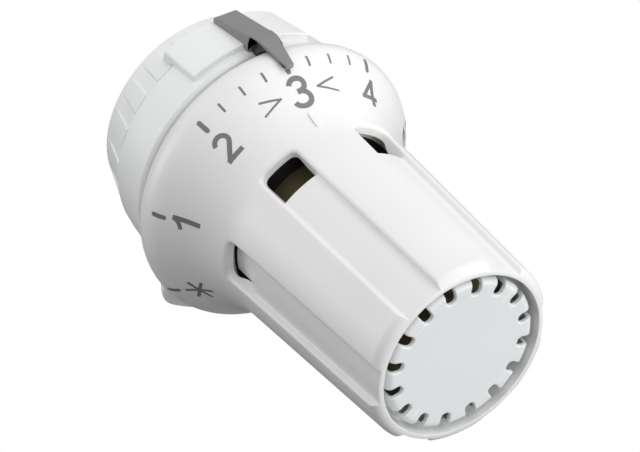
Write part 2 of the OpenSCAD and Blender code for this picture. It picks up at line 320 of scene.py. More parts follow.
def inset(profile, distance):
    """A closed outline moved inwards along its normals."""
    p = np.array(profile)
    tangent = np.roll(p, -1, 0) - np.roll(p, 1, 0)
    tangent /= np.linalg.norm(tangent, axis=1, keepdims=True) + 1e-12
    normal = np.stack([-tangent[:, 1], tangent[:, 0]], 1)
    area = np.sum(p[:, 0] * np.roll(p[:, 1], -1) - np.roll(p[:, 0], -1) * p[:, 1])
    return p + normal * distance * (1 if area > 0 else -1)


def wedge(profile, centre, arc_deg, edge=0.35, corner_r=0, columns=32):
    """An outline swept through part of a turn, with rounded ends.

    corner_r rounds the two rear corners as seen from outside.
    """
    mean_r = np.mean([q[0] for q in profile])
    half = arc_deg / 2
    quarter = np.linspace(0, math.pi / 2, 5)
    ends = [(math.degrees(edge * (1 - math.sin(a)) / mean_r), edge * (1 - math.cos(a)))
            for a in quarter[::-1]]
    sections = [(-half + a, depth) for a, depth in ends]
    sections += [(a, 0) for a in np.linspace(sections[-1][0], -sections[-1][0], columns)[1:-1]]
    sections += [(half - a, depth) for a, depth in ends[::-1]]
    rear = min(q[1] for q in profile)
    loops = []
    for angle, depth in sections:
        outline = inset(profile, depth)
        from_end = math.radians(half - abs(angle)) * mean_r
        cut = corner_r - math.sqrt(max(corner_r ** 2 - max(corner_r - from_end, 0) ** 2, 0))
        z = np.maximum(outline[:, 1], rear + cut) if corner_r else outline[:, 1]
        loops.append(at(outline[:, 0], centre + angle, z))
    return capped(loops)


# ---------------------------------------------------------------- materials

def nodes_of(material):
    tree = material.node_tree
    return tree, tree.nodes["Principled BSDF"]


def noise(tree, scale, detail=3.0, roughness=0.5):
    coords = tree.nodes.new("ShaderNodeTexCoord")
    node = tree.nodes.new("ShaderNodeTexNoise")
    node.inputs["Scale"].default_value = scale
    node.inputs["Detail"].default_value = detail
    node.inputs["Roughness"].default_value = roughness
    tree.links.new(coords.outputs["Object"], node.inputs["Vector"])
    return node


def ranged(tree, source, low, high, start=0.3, end=0.7):
    node = tree.nodes.new("ShaderNodeMapRange")
    node.inputs["From Min"].default_value = start
    node.inputs["From Max"].default_value = end
    node.inputs["To Min"].default_value = low
    node.inputs["To Max"].default_value = high
    tree.links.new(source, node.inputs["Value"])
    return node.outputs["Result"]


def mixed(tree, factor, first, second):
    node = tree.nodes.new("ShaderNodeMix")
    node.data_type = "RGBA"
    node.inputs[6].default_value = (*first, 1)
    node.inputs[7].default_value = (*second, 1)
    tree.links.new(factor, node.inputs[0])
    return node.outputs[2]


def bumped(tree, shader, *layers):
    """Chains bump layers of (height output, strength, distance in metres)."""
    last = None
    for height, strength, distance in layers:
        bump = tree.nodes.new("ShaderNodeBump")
        bump.inputs["Strength"].default_value = strength
        bump.inputs["Distance"].default_value = distance
        tree.links.new(height, bump.inputs["Height"])
        if last:
            tree.links.new(last, bump.inputs["Normal"])
        last = bump.outputs["Normal"]
    tree.links.new(last, shader.inputs["Normal"])


def plastic(slot, colour, rough, grain=0.12, gloss=0.45):
    """Moulded plastic: a fine spark-eroded grain, slow sink waves and lighter worn edges."""
    material = bpy.data.materials.new(slot)
    material.use_nodes = True
    tree, shader = nodes_of(material)
    shader.inputs["Specular IOR Level"].default_value = gloss
    broad = noise(tree, 60, 2)
    fine = noise(tree, 2600, 3, 0.6)
    tint = ranged(tree, broad.outputs["Fac"], 0, 1)
    shade = [max(c * 0.975, 0) for c in colour]
    base = mixed(tree, tint, colour, shade)
    geometry = tree.nodes.new("ShaderNodeNewGeometry")
    worn = ranged(tree, geometry.outputs["Pointiness"], 0, 0.35, 0.53, 0.6)
    edge = tree.nodes.new("ShaderNodeMix")
    edge.data_type = "RGBA"
    edge.inputs[7].default_value = (*[min(c * 1.12 + 0.01, 0.97) for c in colour], 1)
    tree.links.new(worn, edge.inputs[0])
    tree.links.new(base, edge.inputs[6])
    tree.links.new(edge.outputs[2], shader.inputs["Base Color"])
    tree.links.new(ranged(tree, fine.outputs["Fac"], rough - 0.05, rough + 0.05),
                   shader.inputs["Roughness"])
    bumped(tree, shader, (broad.outputs["Fac"], 0.15, 0.0002),
           (fine.outputs["Fac"], grain, 0.00005))
    return material


def metal(slot, colour, rough, dark, scale=400, metallic=1.0):
    """Turned or drawn metal with fine streaks round the axis and patchy dulling."""
    material = bpy.data.materials.new(slot)
    material.use_nodes = True
    tree, shader = nodes_of(material)
    shader.inputs["Metallic"].default_value = metallic
    patches = noise(tree, 180, 4)
    streaks = tree.nodes.new("ShaderNodeTexNoise")
    streaks.inputs["Scale"].default_value = scale
    streaks.inputs["Detail"].default_value = 4
    mapping = tree.nodes.new("ShaderNodeMapping")
    mapping.inputs["Scale"].default_value = (1, 14, 1)
    coords = tree.nodes.new("ShaderNodeTexCoord")
    tree.links.new(coords.outputs["Object"], mapping.inputs["Vector"])
    tree.links.new(mapping.outputs["Vector"], streaks.inputs["Vector"])
    tint = ranged(tree, patches.outputs["Fac"], 0, 1)
    tree.links.new(mixed(tree, tint, colour, dark), shader.inputs["Base Color"])
    tree.links.new(ranged(tree, patches.outputs["Fac"], rough - 0.07, rough + 0.1),
                   shader.inputs["Roughness"])
    bumped(tree, shader, (streaks.outputs["Fac"], 0.12, 0.00006))
    return material


MATERIALS = {
    "white_plastic": plastic("white_plastic", (0.86, 0.86, 0.855), 0.36),
    "base_plastic": plastic("base_plastic", (0.88, 0.89, 0.895), 0.4),
    "cap_plastic": plastic("cap_plastic", (0.83, 0.86, 0.865), 0.42, 0.2),
    "pointer_plastic": plastic("pointer_plastic", (0.235, 0.235, 0.24), 0.45, 0.3),
    "black_plastic": plastic("black_plastic", (0.018, 0.018, 0.018), 0.5, 0.4),
    "brass": metal("brass", (0.72, 0.5, 0.22), 0.3, (0.55, 0.37, 0.15)),
    "sensor_metal": metal("sensor_metal", (0.3, 0.26, 0.14), 0.42, (0.22, 0.19, 0.1), metallic=0.4),
    "steel": metal("steel", (0.6, 0.61, 0.62), 0.28, (0.45, 0.46, 0.47)),
    "bronze": metal("bronze", (0.55, 0.36, 0.2), 0.35, (0.4, 0.24, 0.12)),
    "ink": plastic("ink", (0.19, 0.195, 0.2), 0.5, 0.1),
}


# ---------------------------------------------------------------- handle

ROUND_CR = DIAL_R - ROUND_R
ROUND_CZ = DIAL_REAR + ROUND_RISE
CONE_Z = ROUND_CZ + ROUND_R * math.sin(CONE)
CONE_R = ROUND_CR + ROUND_R * math.cos(CONE)
FLARE_Z = CONE_Z + CONE_LEN
FLARE_START_R = CONE_R - CONE_LEN * math.tan(CONE)
FLARE_CZ = FLARE_Z + FLARE_R * math.sin(CONE)
FLARE_CR = FLARE_START_R + FLARE_R * math.cos(CONE)
BARREL_Z = FLARE_CZ - FLARE_R * math.sin(DRAFT)
BARREL_R = FLARE_CR - FLARE_R * math.cos(DRAFT)


def dial_radius(z):
    """Outer radius of the handle before its grooves."""
    z = np.asarray(z, float)
    nose = ROUND_CR + np.sqrt(np.maximum(ROUND_R ** 2 - (z - ROUND_CZ) ** 2, 0))
    cone = CONE_R - (z - CONE_Z) * math.tan(CONE)
    flare = FLARE_CR - np.sqrt(np.maximum(FLARE_R ** 2 - (FLARE_CZ - z) ** 2, 0))
    barrel = BARREL_R - (z - BARREL_Z) * math.tan(DRAFT)
    return np.select([z < CONE_Z, z < FLARE_Z, z < BARREL_Z], [nose, cone, flare], barrel)


def outer_radius(z, depth):
    """Outer radius with a groove of some depth, which runs out over the rounded rim."""
    past = np.maximum(z - (OVERALL - RIM_ROUND), 0)
    centre = dial_radius(OVERALL - RIM_ROUND) - RIM_ROUND
    rim = centre + np.sqrt(np.maximum(RIM_ROUND ** 2 - past ** 2, 0))
    return np.minimum(dial_radius(z) - depth, np.where(past > 0, rim, DIAL_R))


def bore_radius(z):
    """Inner radius of the handle in front of the adjusting sleeve."""
    stations = [RELIEF_Z - RELIEF_STEP, RELIEF_Z, RELIEF_Z + RELIEF_LEN,
                RELIEF_Z + 2 * RELIEF_LEN, WEB_Z]
    return np.interp(z, stations, [BORE_R, RELIEF_R, RELIEF_R, BORE_R, RIM_BORE])


LIP = 0.6
FOOT = 0.3
WALL = 0.05
QUARTER = np.linspace(0, math.pi / 2, 6)


def step_depth(s, depth, lip=LIP, foot=FOOT):
    """Depth at a distance s inside a recess edge: rounded lip, steep wall, rounded foot."""
    s = np.asarray(s, float)
    top = lip - np.sqrt(np.maximum(lip ** 2 - np.clip(s + lip, 0, lip) ** 2, 0))
    rest = np.clip(foot - (s - WALL), 0, foot)
    bottom = depth - foot + np.sqrt(np.maximum(foot ** 2 - rest ** 2, 0))
    return np.where(s < WALL * 0.99, top, bottom)


def edge_stations(lip, foot, before=(), after=()):
    """Stations s across a recess edge, where step_depth bends."""
    top = -lip + lip * np.sin(QUARTER)
    bottom = WALL + foot * (1 - np.cos(QUARTER))
    return np.concatenate([before, top, bottom, after])


EDGE = edge_stations(LIP, FOOT, [-2.0, -1.4, -0.95], [0.8, 1.5])


def corner(su, sv, radius):
    """Rounds a recess's corner: distances inside its two edges, moved so that s = 0 is an arc."""
    a, b = (radius - su) / radius, (radius - sv) / radius
    near = (a > 0) & (b > 0)
    a, b = np.where(near, a, 0), np.where(near, b, 0)
    s = np.maximum(np.maximum(a, b), 1e-9)
    unit_a, unit_b = a / np.maximum(s, 1), b / np.maximum(s, 1)
    x = unit_a * np.sqrt(1 - unit_b ** 2 / 2) * np.maximum(s, 1)
    y = unit_b * np.sqrt(1 - unit_a ** 2 / 2) * np.maximum(s, 1)
    t = np.clip((s - 1) / 0.8, 0, 1)
    x, y = x + (a - x) * t, y + (b - y) * t
    return np.where(near, radius * (1 - x), su), np.where(near, radius * (1 - y), sv)


RIM_STEPS = [6, 14, 22, 30, 38, 46, 53, 59, 64, 68, 73, 79, 84]


def handle_rows():
    """Axial stations of the handle's outer surface, close together at each edge."""
    nose = [ROUND_CZ + ROUND_R * math.sin(a)
            for a in np.linspace(-math.asin(ROUND_RISE / ROUND_R), CONE, 16)]
    cone = np.linspace(CONE_Z, FLARE_Z, 4)[1:]
    flare = np.linspace(FLARE_Z, WINDOW_REAR + EDGE[0], 10)[1:-1]
    rear = WINDOW_REAR + EDGE
    window = np.linspace(rear[-1], WINDOW_FRONT - WALL, 5)[1:]
    front = WINDOW_FRONT + np.concatenate([[0], FOOT * (1 - np.cos(QUARTER))[1:], [0.9, 1.6]])
    barrel = np.linspace(front[-1], OVERALL - RIM_ROUND, 18)[1:]
    rim = OVERALL - RIM_ROUND * (1 - np.sin(np.radians(RIM_STEPS)))
    return np.concatenate([nose, cone, flare, rear, window, front, barrel, rim])


def handle_grid(z, inner=False):
    """Points of the handle's skin at the stations z, and which of them lie in a window."""
    side = np.concatenate([EDGE, np.linspace(EDGE[-1], GROOVE_HALF, 4)[1:]])
    land = np.linspace(0, 1, 8)[1:-1]
    s, sign = mirrored(side)
    su, sz = np.broadcast_arrays(s[None, :], z[:, None])
    u, past_rear = corner(su, sz - WINDOW_REAR, CORNER_R)
    zz = WINDOW_REAR + past_rear
    inside = np.minimum(su, sz - WINDOW_REAR)
    depth = step_depth(inside, GROOVE_DEPTH)
    sill = np.clip(FOOT - (sz - WINDOW_FRONT), 0, FOOT)
    sill = np.where((sz >= WINDOW_FRONT) & (inside > WALL), FOOT - np.sqrt(FOOT ** 2 - sill ** 2), 0)
    depth = depth + sill
    hole = (inside >= WALL - 1e-6) & (sz <= WINDOW_FRONT - WALL + 1e-6)
    outer_r = dial_radius(zz)
    cw = sign * np.degrees((GROOVE_HALF - u) / np.maximum(outer_r, 1))
    r = np.where(hole, bore_radius(zz), outer_radius(zz, depth))
    if inner:
        r = bore_radius(zz)
    first, last = cw[:, :1], cw[:, -1:]
    pitch = 360 / WINDOWS
    land_cw = last + (first + pitch - last) * land[None, :]
    land_z = np.broadcast_to(z[:, None], land_cw.shape)
    land_r = bore_radius(land_z) if inner else outer_radius(land_z, 0)
    cw = np.concatenate([cw, land_cw], 1)
    zz = np.concatenate([zz, land_z], 1)
    r = np.concatenate([r, land_r], 1)
    hole = np.concatenate([hole, np.zeros(land_cw.shape, bool)], 1)
    cw = np.concatenate([cw + pitch * (i + 0.5) for i in range(WINDOWS)], 1)
    return at(np.tile(r, WINDOWS), cw, np.tile(zz, WINDOWS)), np.tile(hole, WINDOWS)


def ring_rows(profile, like):
    """Rows of plain revolution with the same column angles as a row of the handle's grid."""
    return turned(profile, np.degrees(np.arctan2(like[:, 0], like[:, 2])))


def front_rim():
    """Outline from the end of the barrel over the rim and down to the seat of the end cap."""
    r = float(dial_radius(OVERALL - RIM_ROUND)) - RIM_ROUND
    ledge = [(r, OVERALL), (RIM_BORE, OVERALL, 0.25), (RIM_BORE, WEB_Z + 1.5),
             (CAP_R, WEB_Z + 1.5), (CAP_R, WEB_Z), (RIM_BORE, WEB_Z),
             (bore_radius(BORE_END), BORE_END)]
    return rounded(ledge, 0.12, closed=False)[:-1]


def handle_inside():
    """Outline from the adjusting sleeve's seat out to the rear edge of the dial."""
    return rounded([
        (BORE_R, RELIEF_Z - RELIEF_STEP), (BORE_R, SLEEVE_STEP_Z), (RELIEF_R, SLEEVE_STEP_Z),
        (19, 31), (21, 28.2), (CAVITY_R, 26.2), (CAVITY_R, WIRE_Z + 2.1),
        (DIAL_BORE_R, WIRE_Z + 2.1, 0), (DIAL_BORE_R, WIRE_Z + 0.9), (WIRE_GROOVE_R, WIRE_Z + 0.9),
        (WIRE_GROOVE_R, WIRE_Z - 0.9), (DIAL_BORE_R, WIRE_Z - 0.9), (DIAL_BORE_R, DIAL_REAR, 0.25),
        (DIAL_BORE_R + 0.47, DIAL_REAR, 0)
    ], 0.12, closed=False)[:-1]


def tongue(angle):
    """Springy tongue under a side window, with its rear corners rounded in plan."""
    rear = WINDOW_REAR - 0.6
    front = WINDOW_FRONT + 2
    profile = rounded([(15.0, rear), (TONGUE_R, rear), (TONGUE_R, WINDOW_FRONT - 1),
                       (TONGUE_R + 0.05, front), (TONGUE_R + 0.05, front + 1), (15.0, front)], 0.2)
    return wedge(profile, angle, TONGUE_ARC, edge=0.2, corner_r=0.5)


def dial_handle():
    z = handle_rows()
    outer, hole = handle_grid(z)
    rim = ring_rows(front_rim(), outer[-1])
    bore_z = z[(z > RELIEF_Z - 0.3) & (z < BORE_END)]
    inner, inner_hole = handle_grid(bore_z[::-1], inner=True)
    back = ring_rows(handle_inside(), outer[0])
    gone = np.concatenate([hole, np.zeros(rim.shape[:2], bool), inner_hole,
                           np.zeros(back.shape[:2], bool)])
    shell = perforated(np.concatenate([outer, rim, inner, back]), gone)
    lug = wedge(rounded([(19.7, 24), (22.9, 24), (22.9, 26.2), (19.7, 26.2)], 0.3), LUG_CW, LUG_ARC)
    piece("dial_handle", *joined(shell, lug, tongue(-90), tongue(90)), "handle",
          "white_plastic", "handle_shell")


# ---------------------------------------------------------------- dial markings

PROFILE_Z = np.linspace(DIAL_REAR, 50, 4000)
PROFILE_R = dial_radius(PROFILE_Z)
PROFILE_V = np.concatenate([[0], np.cumsum(np.hypot(np.diff(PROFILE_Z), np.diff(PROFILE_R)))])


def on_dial(cw, u, v, height):
    """Points at u across and v along the handle's surface from its rear edge, raised by height."""
    z = np.interp(v, PROFILE_V, PROFILE_Z)
    r = np.interp(v, PROFILE_V, PROFILE_R)
    slope = np.interp(v, PROFILE_V, np.gradient(PROFILE_R, PROFILE_Z))
    out = height / np.sqrt(1 + slope ** 2)
    return at(r + out, cw + np.degrees(u / r), z - out * slope)


def curve(cx, cy, rx, ry, start, end, steps=16):
    """Points of an elliptical arc, angles in degrees."""
    return [(cx + rx * math.cos(math.radians(a)), cy + ry * math.sin(math.radians(a)))
            for a in np.linspace(start, end, steps + 1)]


def stroke(path, width, round_ends=False):
    """Outline of a pen stroke along a path."""
    p = np.array(path, float)
    d = np.gradient(p, axis=0)
    d /= np.linalg.norm(d, axis=1, keepdims=True)
    side = np.stack([-d[:, 1], d[:, 0]], 1) * width / 2
    ends = []
    for tip, across in ((p[-1], side[-1]), (p[0], -side[0])):
        along = np.array([across[1], -across[0]])
        turns = np.linspace(0, math.pi, 9)[1:-1] if round_ends else []
        ends.append([tip + across * math.cos(t) + along * math.sin(t) for t in turns])
    loop = list(p + side) + ends[0] + list((p - side)[::-1]) + ends[1]
    x, y = np.array(loop).T
    anticlockwise = np.sum(x * np.roll(y, -1) - np.roll(x, -1) * y) > 0
    return [tuple(q) for q in (loop if anticlockwise else loop[::-1])]


def mark(name, strokes, cw, base_v, height=INK_HEIGHT, slot="pointer_plastic", finish="ink"):
    """A printed or raised mark: the union of its strokes, laid on the dial.

    Strokes are in mm, with their foot at base_v along the surface and their top to the rear.
    """
    points, loops = [], []
    for outline in strokes:
        loops.append(list(range(len(points), len(points) + len(outline))))
        points += [Vector(q) for q in outline]
    low = np.min(points, axis=0)
    high = np.max(points, axis=0)
    for x in np.arange(low[0], high[0], MARK_STEP):
        points += [Vector((x, y)) for y in np.arange(low[1], high[1], MARK_STEP)]
    flat, _, faces, _, _, sources = delaunay_2d_cdt(points, [], loops, 0, 1e-5)
    faces = [f for f, source in zip(faces, sources) if source]
    flat = np.array([tuple(q) for q in flat])
    top = on_dial(cw, flat[:, 0], base_v - flat[:, 1], height)
    foot = on_dial(cw, flat[:, 0], base_v - flat[:, 1], -INK_SINK)
    n = len(flat)
    edges = {}
    for f in faces:
        for a, b in zip(f, [*f[1:], f[0]]):
            edges[frozenset((a, b))] = edges.get(frozenset((a, b)), []) + [(a, b)]
    sides = [[b, a, a + n, b + n] for (a, b), in (e for e in edges.values() if len(e) == 1)]
    solid = [list(f) for f in faces] + [[i + n for i in f[::-1]] for f in faces] + sides
    obj = piece(name, np.concatenate([top, foot]), solid, "handle", slot, weighted=False)
    obj.data.materials[0] = MATERIALS[finish]


def tick(name, cw, width):
    mark(name, [stroke([(0, 0), (0, 0.6), (0, 1.2), (0, TICK_LEN)], width, width > 0.6)], cw, TICK_V)


# Each mark's dial angle, the distance of its foot from the dial's rear edge, and its strokes
MARKS = {
    "number_3": (0.8, 15.6, [
        stroke(curve(0, 4.36, 1.42, 1.165, 168, -72) + [(-0.35, 3.2)], 0.95),
        stroke([(-0.35, 3.2)] + curve(0, 1.84, 1.6, 1.365, 76, -168), 0.95),
    ]),
    "number_2": (-40.2, 15.35, [
        stroke(curve(0, 3.45, 1.32, 1.13, 168, -38) + [(-1.3, 0.5)], 0.85),
        stroke([(-1.75, 0.42), (0, 0.42), (1.75, 0.42)], 0.84),
    ]),
    "number_1": (-80.2, 15.2, [
        stroke([(0.5, 0), (0.5, 2.5), (0.5, 5.0)], 0.92),
        stroke([(-1.45, 3.35), (-0.75, 3.55), (-0.2, 3.9), (0.2, 4.35), (0.4, 4.95)], 0.75),
    ]),
    "number_4": (40.2, 15.35, [
        stroke([(0.75, 0), (0.75, 2.5), (0.75, 5.0)], 0.85),
        stroke([(0.85, 4.75), (-0.45, 3.0), (-1.6, 1.4)], 0.7),
        stroke([(-1.95, 1.5), (0, 1.5), (1.85, 1.5)], 0.78),
    ]),
    "number_5": (80.6, 15.35, [
        stroke([(1.45, 4.58), (0, 4.58), (-1.2, 4.58)], 0.84),
        stroke([(-0.85, 4.8), (-0.95, 3.7), (-1.1, 2.5)], 0.8),
        stroke(curve(0, 1.7, 1.4, 1.3, 148, -165), 0.85),
    ]),
    "frost_mark": (-120.9, 15.3, [
        stroke([(2.45 * t * math.cos(a), 2.5 + 2.45 * t * math.sin(a)) for t in (-1, 0, 1)], 0.6, True)
        for a in np.radians([90, 30, -30])
    ]),
    "arrow_clockwise": (0, 12.4, [
        stroke([(-7.1, h), (-5.2, h / 2), (-3.35, 0)], 0.36, True) for h in (1.2, -1.2)
    ]),
    "arrow_anticlockwise": (0, 12.4, [
        stroke([(7.7, h), (5.8, h / 2), (3.95, 0)], 0.36, True) for h in (1.2, -1.2)
    ]),
}


def dial_markings():
    for name, (cw, base_v, strokes) in MARKS.items():
        mark(name, strokes, cw, base_v)
    for number in range(-3, 3):
        tick(f"number_tick_{number + 4}", number * NUMBER_STEP, 0.85)
    for i in (-3, -2, -1, 1, 2, 3):
        tick(f"fine_tick_{i + 4}", i * NUMBER_STEP / 4, 0.42)
    rib = stroke([(0, 0), (0, 1.1), (0, 2.2)], 0.8, True)
    mark("setting_rib", [rib], 0, 19.3, 0.3, "white_plastic", "white_plastic")


# ---------------------------------------------------------------- end cap

def cap_skin(t, depth):
    """(radius, axis) at a distance t along the cap's outline from its centre, sunk by depth."""
    flat = CAP_R - CAP_ROUND
    bend = np.clip((t - flat) / CAP_ROUND, 0, math.pi / 2)
    over = np.maximum(t - flat - CAP_ROUND * math.pi / 2, 0)
    r = np.minimum(t, flat) + (CAP_ROUND - depth) * np.sin(bend)
    z = CAP_FACE - CAP_ROUND + (CAP_ROUND - depth) * np.cos(bend) - over
    return r, z


def cap_grid(inner=False):
    """Points of the cap's skin, and which of them lie in a notch."""
    flat = CAP_R - CAP_ROUND
    skirt = flat + CAP_ROUND * math.pi / 2
    notch_foot = skirt + CAP_FACE - CAP_ROUND - NOTCH_FOOT
    edge = edge_stations(NOTCH_LIP, 0.05)[:-4]
    ends = np.concatenate([[10.9], NOTCH_END + edge, [NOTCH_END + 0.6, NOTCH_END + 1.0],
                           np.linspace(flat, skirt, 9), [skirt + 0.6], (notch_foot - edge)[::-1],
                           [notch_foot + 0.6, skirt + CAP_FACE - CAP_ROUND - CAP_REAR]])
    side = np.concatenate([[-0.9, -0.5], edge, [0.4, 0.7, NOTCH_HALF]])
    s, sign = mirrored(side)
    su, t = np.broadcast_arrays(s[None, :], ends[:, None])
    u, into = corner(su, t - NOTCH_END, NOTCH_HALF)
    near = t < NOTCH_END + 2 * NOTCH_HALF
    u = np.where(near, u, su)
    tt = np.where(near, NOTCH_END + into, t)
    inside = np.minimum(su, np.minimum(t - NOTCH_END, notch_foot - t))
    hole = inside >= WALL - 1e-6
    depth = np.where(hole, CAP_WALL, step_depth(np.minimum(inside, 0), 1, NOTCH_LIP, 0.05))
    depth = np.full_like(depth, CAP_WALL) if inner else depth
    r, z = cap_skin(np.maximum(tt, 0), depth)
    cw = sign * np.degrees((NOTCH_HALF - u) / np.maximum(r, NOTCH_END - 0.7))
    first, last = cw[:, :1], cw[:, -1:]
    land = np.linspace(0, 1, 6)[None, 1:-1]
    pitch = 360 / NOTCHES
    land_cw = last + (first + pitch - last) * land
    land_r, land_z = cap_skin(np.broadcast_to(t[:, :1], land_cw.shape), CAP_WALL if inner else 0.0)
    cw = np.concatenate([cw, land_cw], 1)
    r = np.tile(np.concatenate([r, land_r], 1), NOTCHES)
    z = np.tile(np.concatenate([z, land_z], 1), NOTCHES)
    hole = np.tile(np.concatenate([hole, np.zeros(land_cw.shape, bool)], 1), NOTCHES)
    cw = np.concatenate([cw + pitch * (i + 0.5) for i in range(NOTCHES)], 1)
    return at(r, cw, z), hole


def front_cap():
    outer, hole = cap_grid()
    inner, inner_hole = cap_grid(inner=True)
    gone = np.concatenate([hole, inner_hole[::-1]])
    verts, faces = perforated(np.concatenate([outer, inner[::-1]]), gone, wrap_rows=False)
    rows, columns = gone.shape
    faces.append(list(range(columns)))
    faces.append(list(range((rows - 1) * columns, rows * columns)))
    piece("front_cap", verts, faces, "handle", "cap_plastic", "end_cap")


# ---------------------------------------------------------------- base and coupling

def housing():
    shell = spun(rounded([
        (17.0, BASE_REAR), (21.9, BASE_REAR, 0.4), (22.4, 11.5, 2), (22.9, DECK_Z, 2),
        (23.3, 17.6, 0.4), (22.9, 18.2, 0.15), (21.6, 18.2), (21.6, 19.5), (22.7, 19.5),
        (22.7, 20.8), (21.8, 20.8), (21.8, 22.3), (22.7, 22.3), (22.7, 23, 0.3), (COLLAR_R, 23),
        (COLLAR_R, DECK_Z), (FLANGE_R, DECK_Z), (FLANGE_R, 12), (17.0, 12)
    ], 0.12))
    stop = wedge(rounded([(20.3, 22.8), (22.4, 22.8), (22.4, 25.2), (20.3, 25.2)], 0.25),
                 STOP_CW, STOP_ARC)
    piece("base_shell", *joined(shell, top_pad(), low_pad(), low_lip(), stop), "base",
          "base_plastic", "base_housing")


def pad_outline(skin):
    """Outline of a pad: its skin points, then its foot, which steps over the ring at the rear."""
    front = skin[-1][1]
    return rounded(skin + [(PAD_FOOT_R, front), (PAD_FOOT_R, BASE_REAR), (22.05, BASE_REAR),
                           (21.1, PAD_Z[0])], 0.25)


def low_pad():
    """Thick middle of the lower lip, which holds the range pins."""
    outline = pad_outline([(25, PAD_Z[0], 1), (LIP_R - 0.6, LIP_FRONT_Z, 2)])
    return wedge(outline, 180, LOW_PAD_ARC, 0.3)


def top_pad():
    """Raised pad under the pointer. Its ends stand upright and splay out towards the rear."""
    verts, faces = wedge(pad_outline(list(zip(PAD_R, PAD_Z))), 0, PAD_ARC, 0.25)
    end = math.sin(math.radians(PAD_ARC / 2))
    x, y, up = np.array(verts).T / MM
    r = np.hypot(x, up)
    deep = np.maximum(np.interp(-y, PAD_Z, PAD_R) - r, 0)
    x = x + x / (r * end) * deep * (end + np.interp(-y, PAD_Z, PAD_SPLAY))
    return np.stack([x, y, np.sqrt(r ** 2 - x ** 2)], 1) * MM, faces


def low_lip():
    """Flared lip behind the dial at the bottom, with its outer corners rounded off."""
    profile = np.array(rounded([
        (LIP_FOOT_R, 11.5), (23.2, 11.5, 0.5), (LIP_R - 0.2, 17.2, 0.7), (LIP_R, 17.8, 0.6),
        (LIP_R - 2.2, LIP_FRONT_Z, 0.8), (LIP_FOOT_R, LIP_FRONT_Z)
    ], 0.25, steps=6))
    half = LIP_ARC / 2
    loops = []
    for angle in half * np.sin(np.radians(np.linspace(-90, 90, 73))):
        from_end = min(math.radians(half - abs(angle)) * LIP_R, LIP_CORNER)
        drop = LIP_CORNER - math.sqrt(from_end * (2 * LIP_CORNER - from_end))
        share = 1 - drop / (LIP_R - LIP_FOOT_R)
        radius = LIP_FOOT_R + (profile[:, 0] - LIP_FOOT_R) * share
        loops.append(at(radius, 180 + angle, profile[:, 1]))
    return capped(loops)


def pointer_half_width(z):
    return np.interp(z, [POINTER_REAR, POINTER_BEND, POINTER_TIP], [2.35, 1.95, 0.8])


def pointer_shift(z):
    """The wedge leans a little to one side towards its rear."""
    return np.interp(z, [POINTER_REAR, POINTER_TIP], [0.9, 0])


def pointer_wedge():
    outline = rounded([
        (22, POINTER_REAR, 0.1), (23.5, POINTER_REAR, 0.35), (POINTER_R, POINTER_BEND, 3),
        (26.4, POINTER_TIP - 0.3, 0.3), (25.9, POINTER_TIP, 0.2), (25.3, POINTER_TIP - 0.3, 0.2),
        (26.1, 25.2, 1), (26.2, 22.9, 0.3), (26.8, 22.4, 0.3), (26.8, POINTER_BEND, 0),
        (26.4, 18.0, 0.4), (24.9, 17.5, 0.4), (23.1, 17.4, 0.2), (23.2, 14.8, 0.1)
    ], steps=6)
    rounding = [(POINTER_EDGE * (1 - math.cos(a)), POINTER_EDGE * (1 - math.sin(a)))
                for a in QUARTER]
    loops = []
    for side, rows in ((-1, rounding[::-1]), (1, rounding)):
        for deep, inward in rows:
            q = inset(outline, deep)
            x = pointer_shift(q[:, 1]) + side * (pointer_half_width(q[:, 1]) - inward)
            loops.append(np.stack([x, -q[:, 1], q[:, 0]], 1) * MM)
    verts, faces = grid(np.array(loops), wrap_rows=False)
    n = len(outline)
    r, z = np.array(outline).T
    skin = r > POINTER_R - 0.3
    bend = np.abs(z - POINTER_BEND)
    a, b = sorted((np.argmin(np.where(skin, np.inf, bend)), np.argmin(np.where(skin, bend, np.inf))))
    for start in (0, (len(loops) - 1) * n):
        faces.append([start + i for i in range(a, b + 1)])
        faces.append([start + i for i in list(range(b, n)) + list(range(0, a + 1))])
    piece("pointer_wedge", verts, faces, "base", "pointer_plastic", "pointer")


def pointer_shade_web():
    """Black web that fills the arch under the pointer and clears the turning dial. Its black colour is
    painted shade, standing in for the deep shade under the arch.
    """
    outline = [(23.1, 17.2), (25.9, 17.2), (26.9, 20.0), (26.88, 22.6), (26.3, 22.6), (25.95, 21.8),
               (25.4, 20.8), (24.6, 19.9), (23.8, 19.4), (23.1, 19.3)]
    loops = np.array([[(pointer_shift(z) + side * POINTER_SHADE_WEB, -z, r) for r, z in outline]
                      for side in (-1, 1)]) * MM
    # The black plastic here is painted shade for the arch under the pointer
    piece("pointer_shade_web", *capped(loops), "base", "black_plastic")


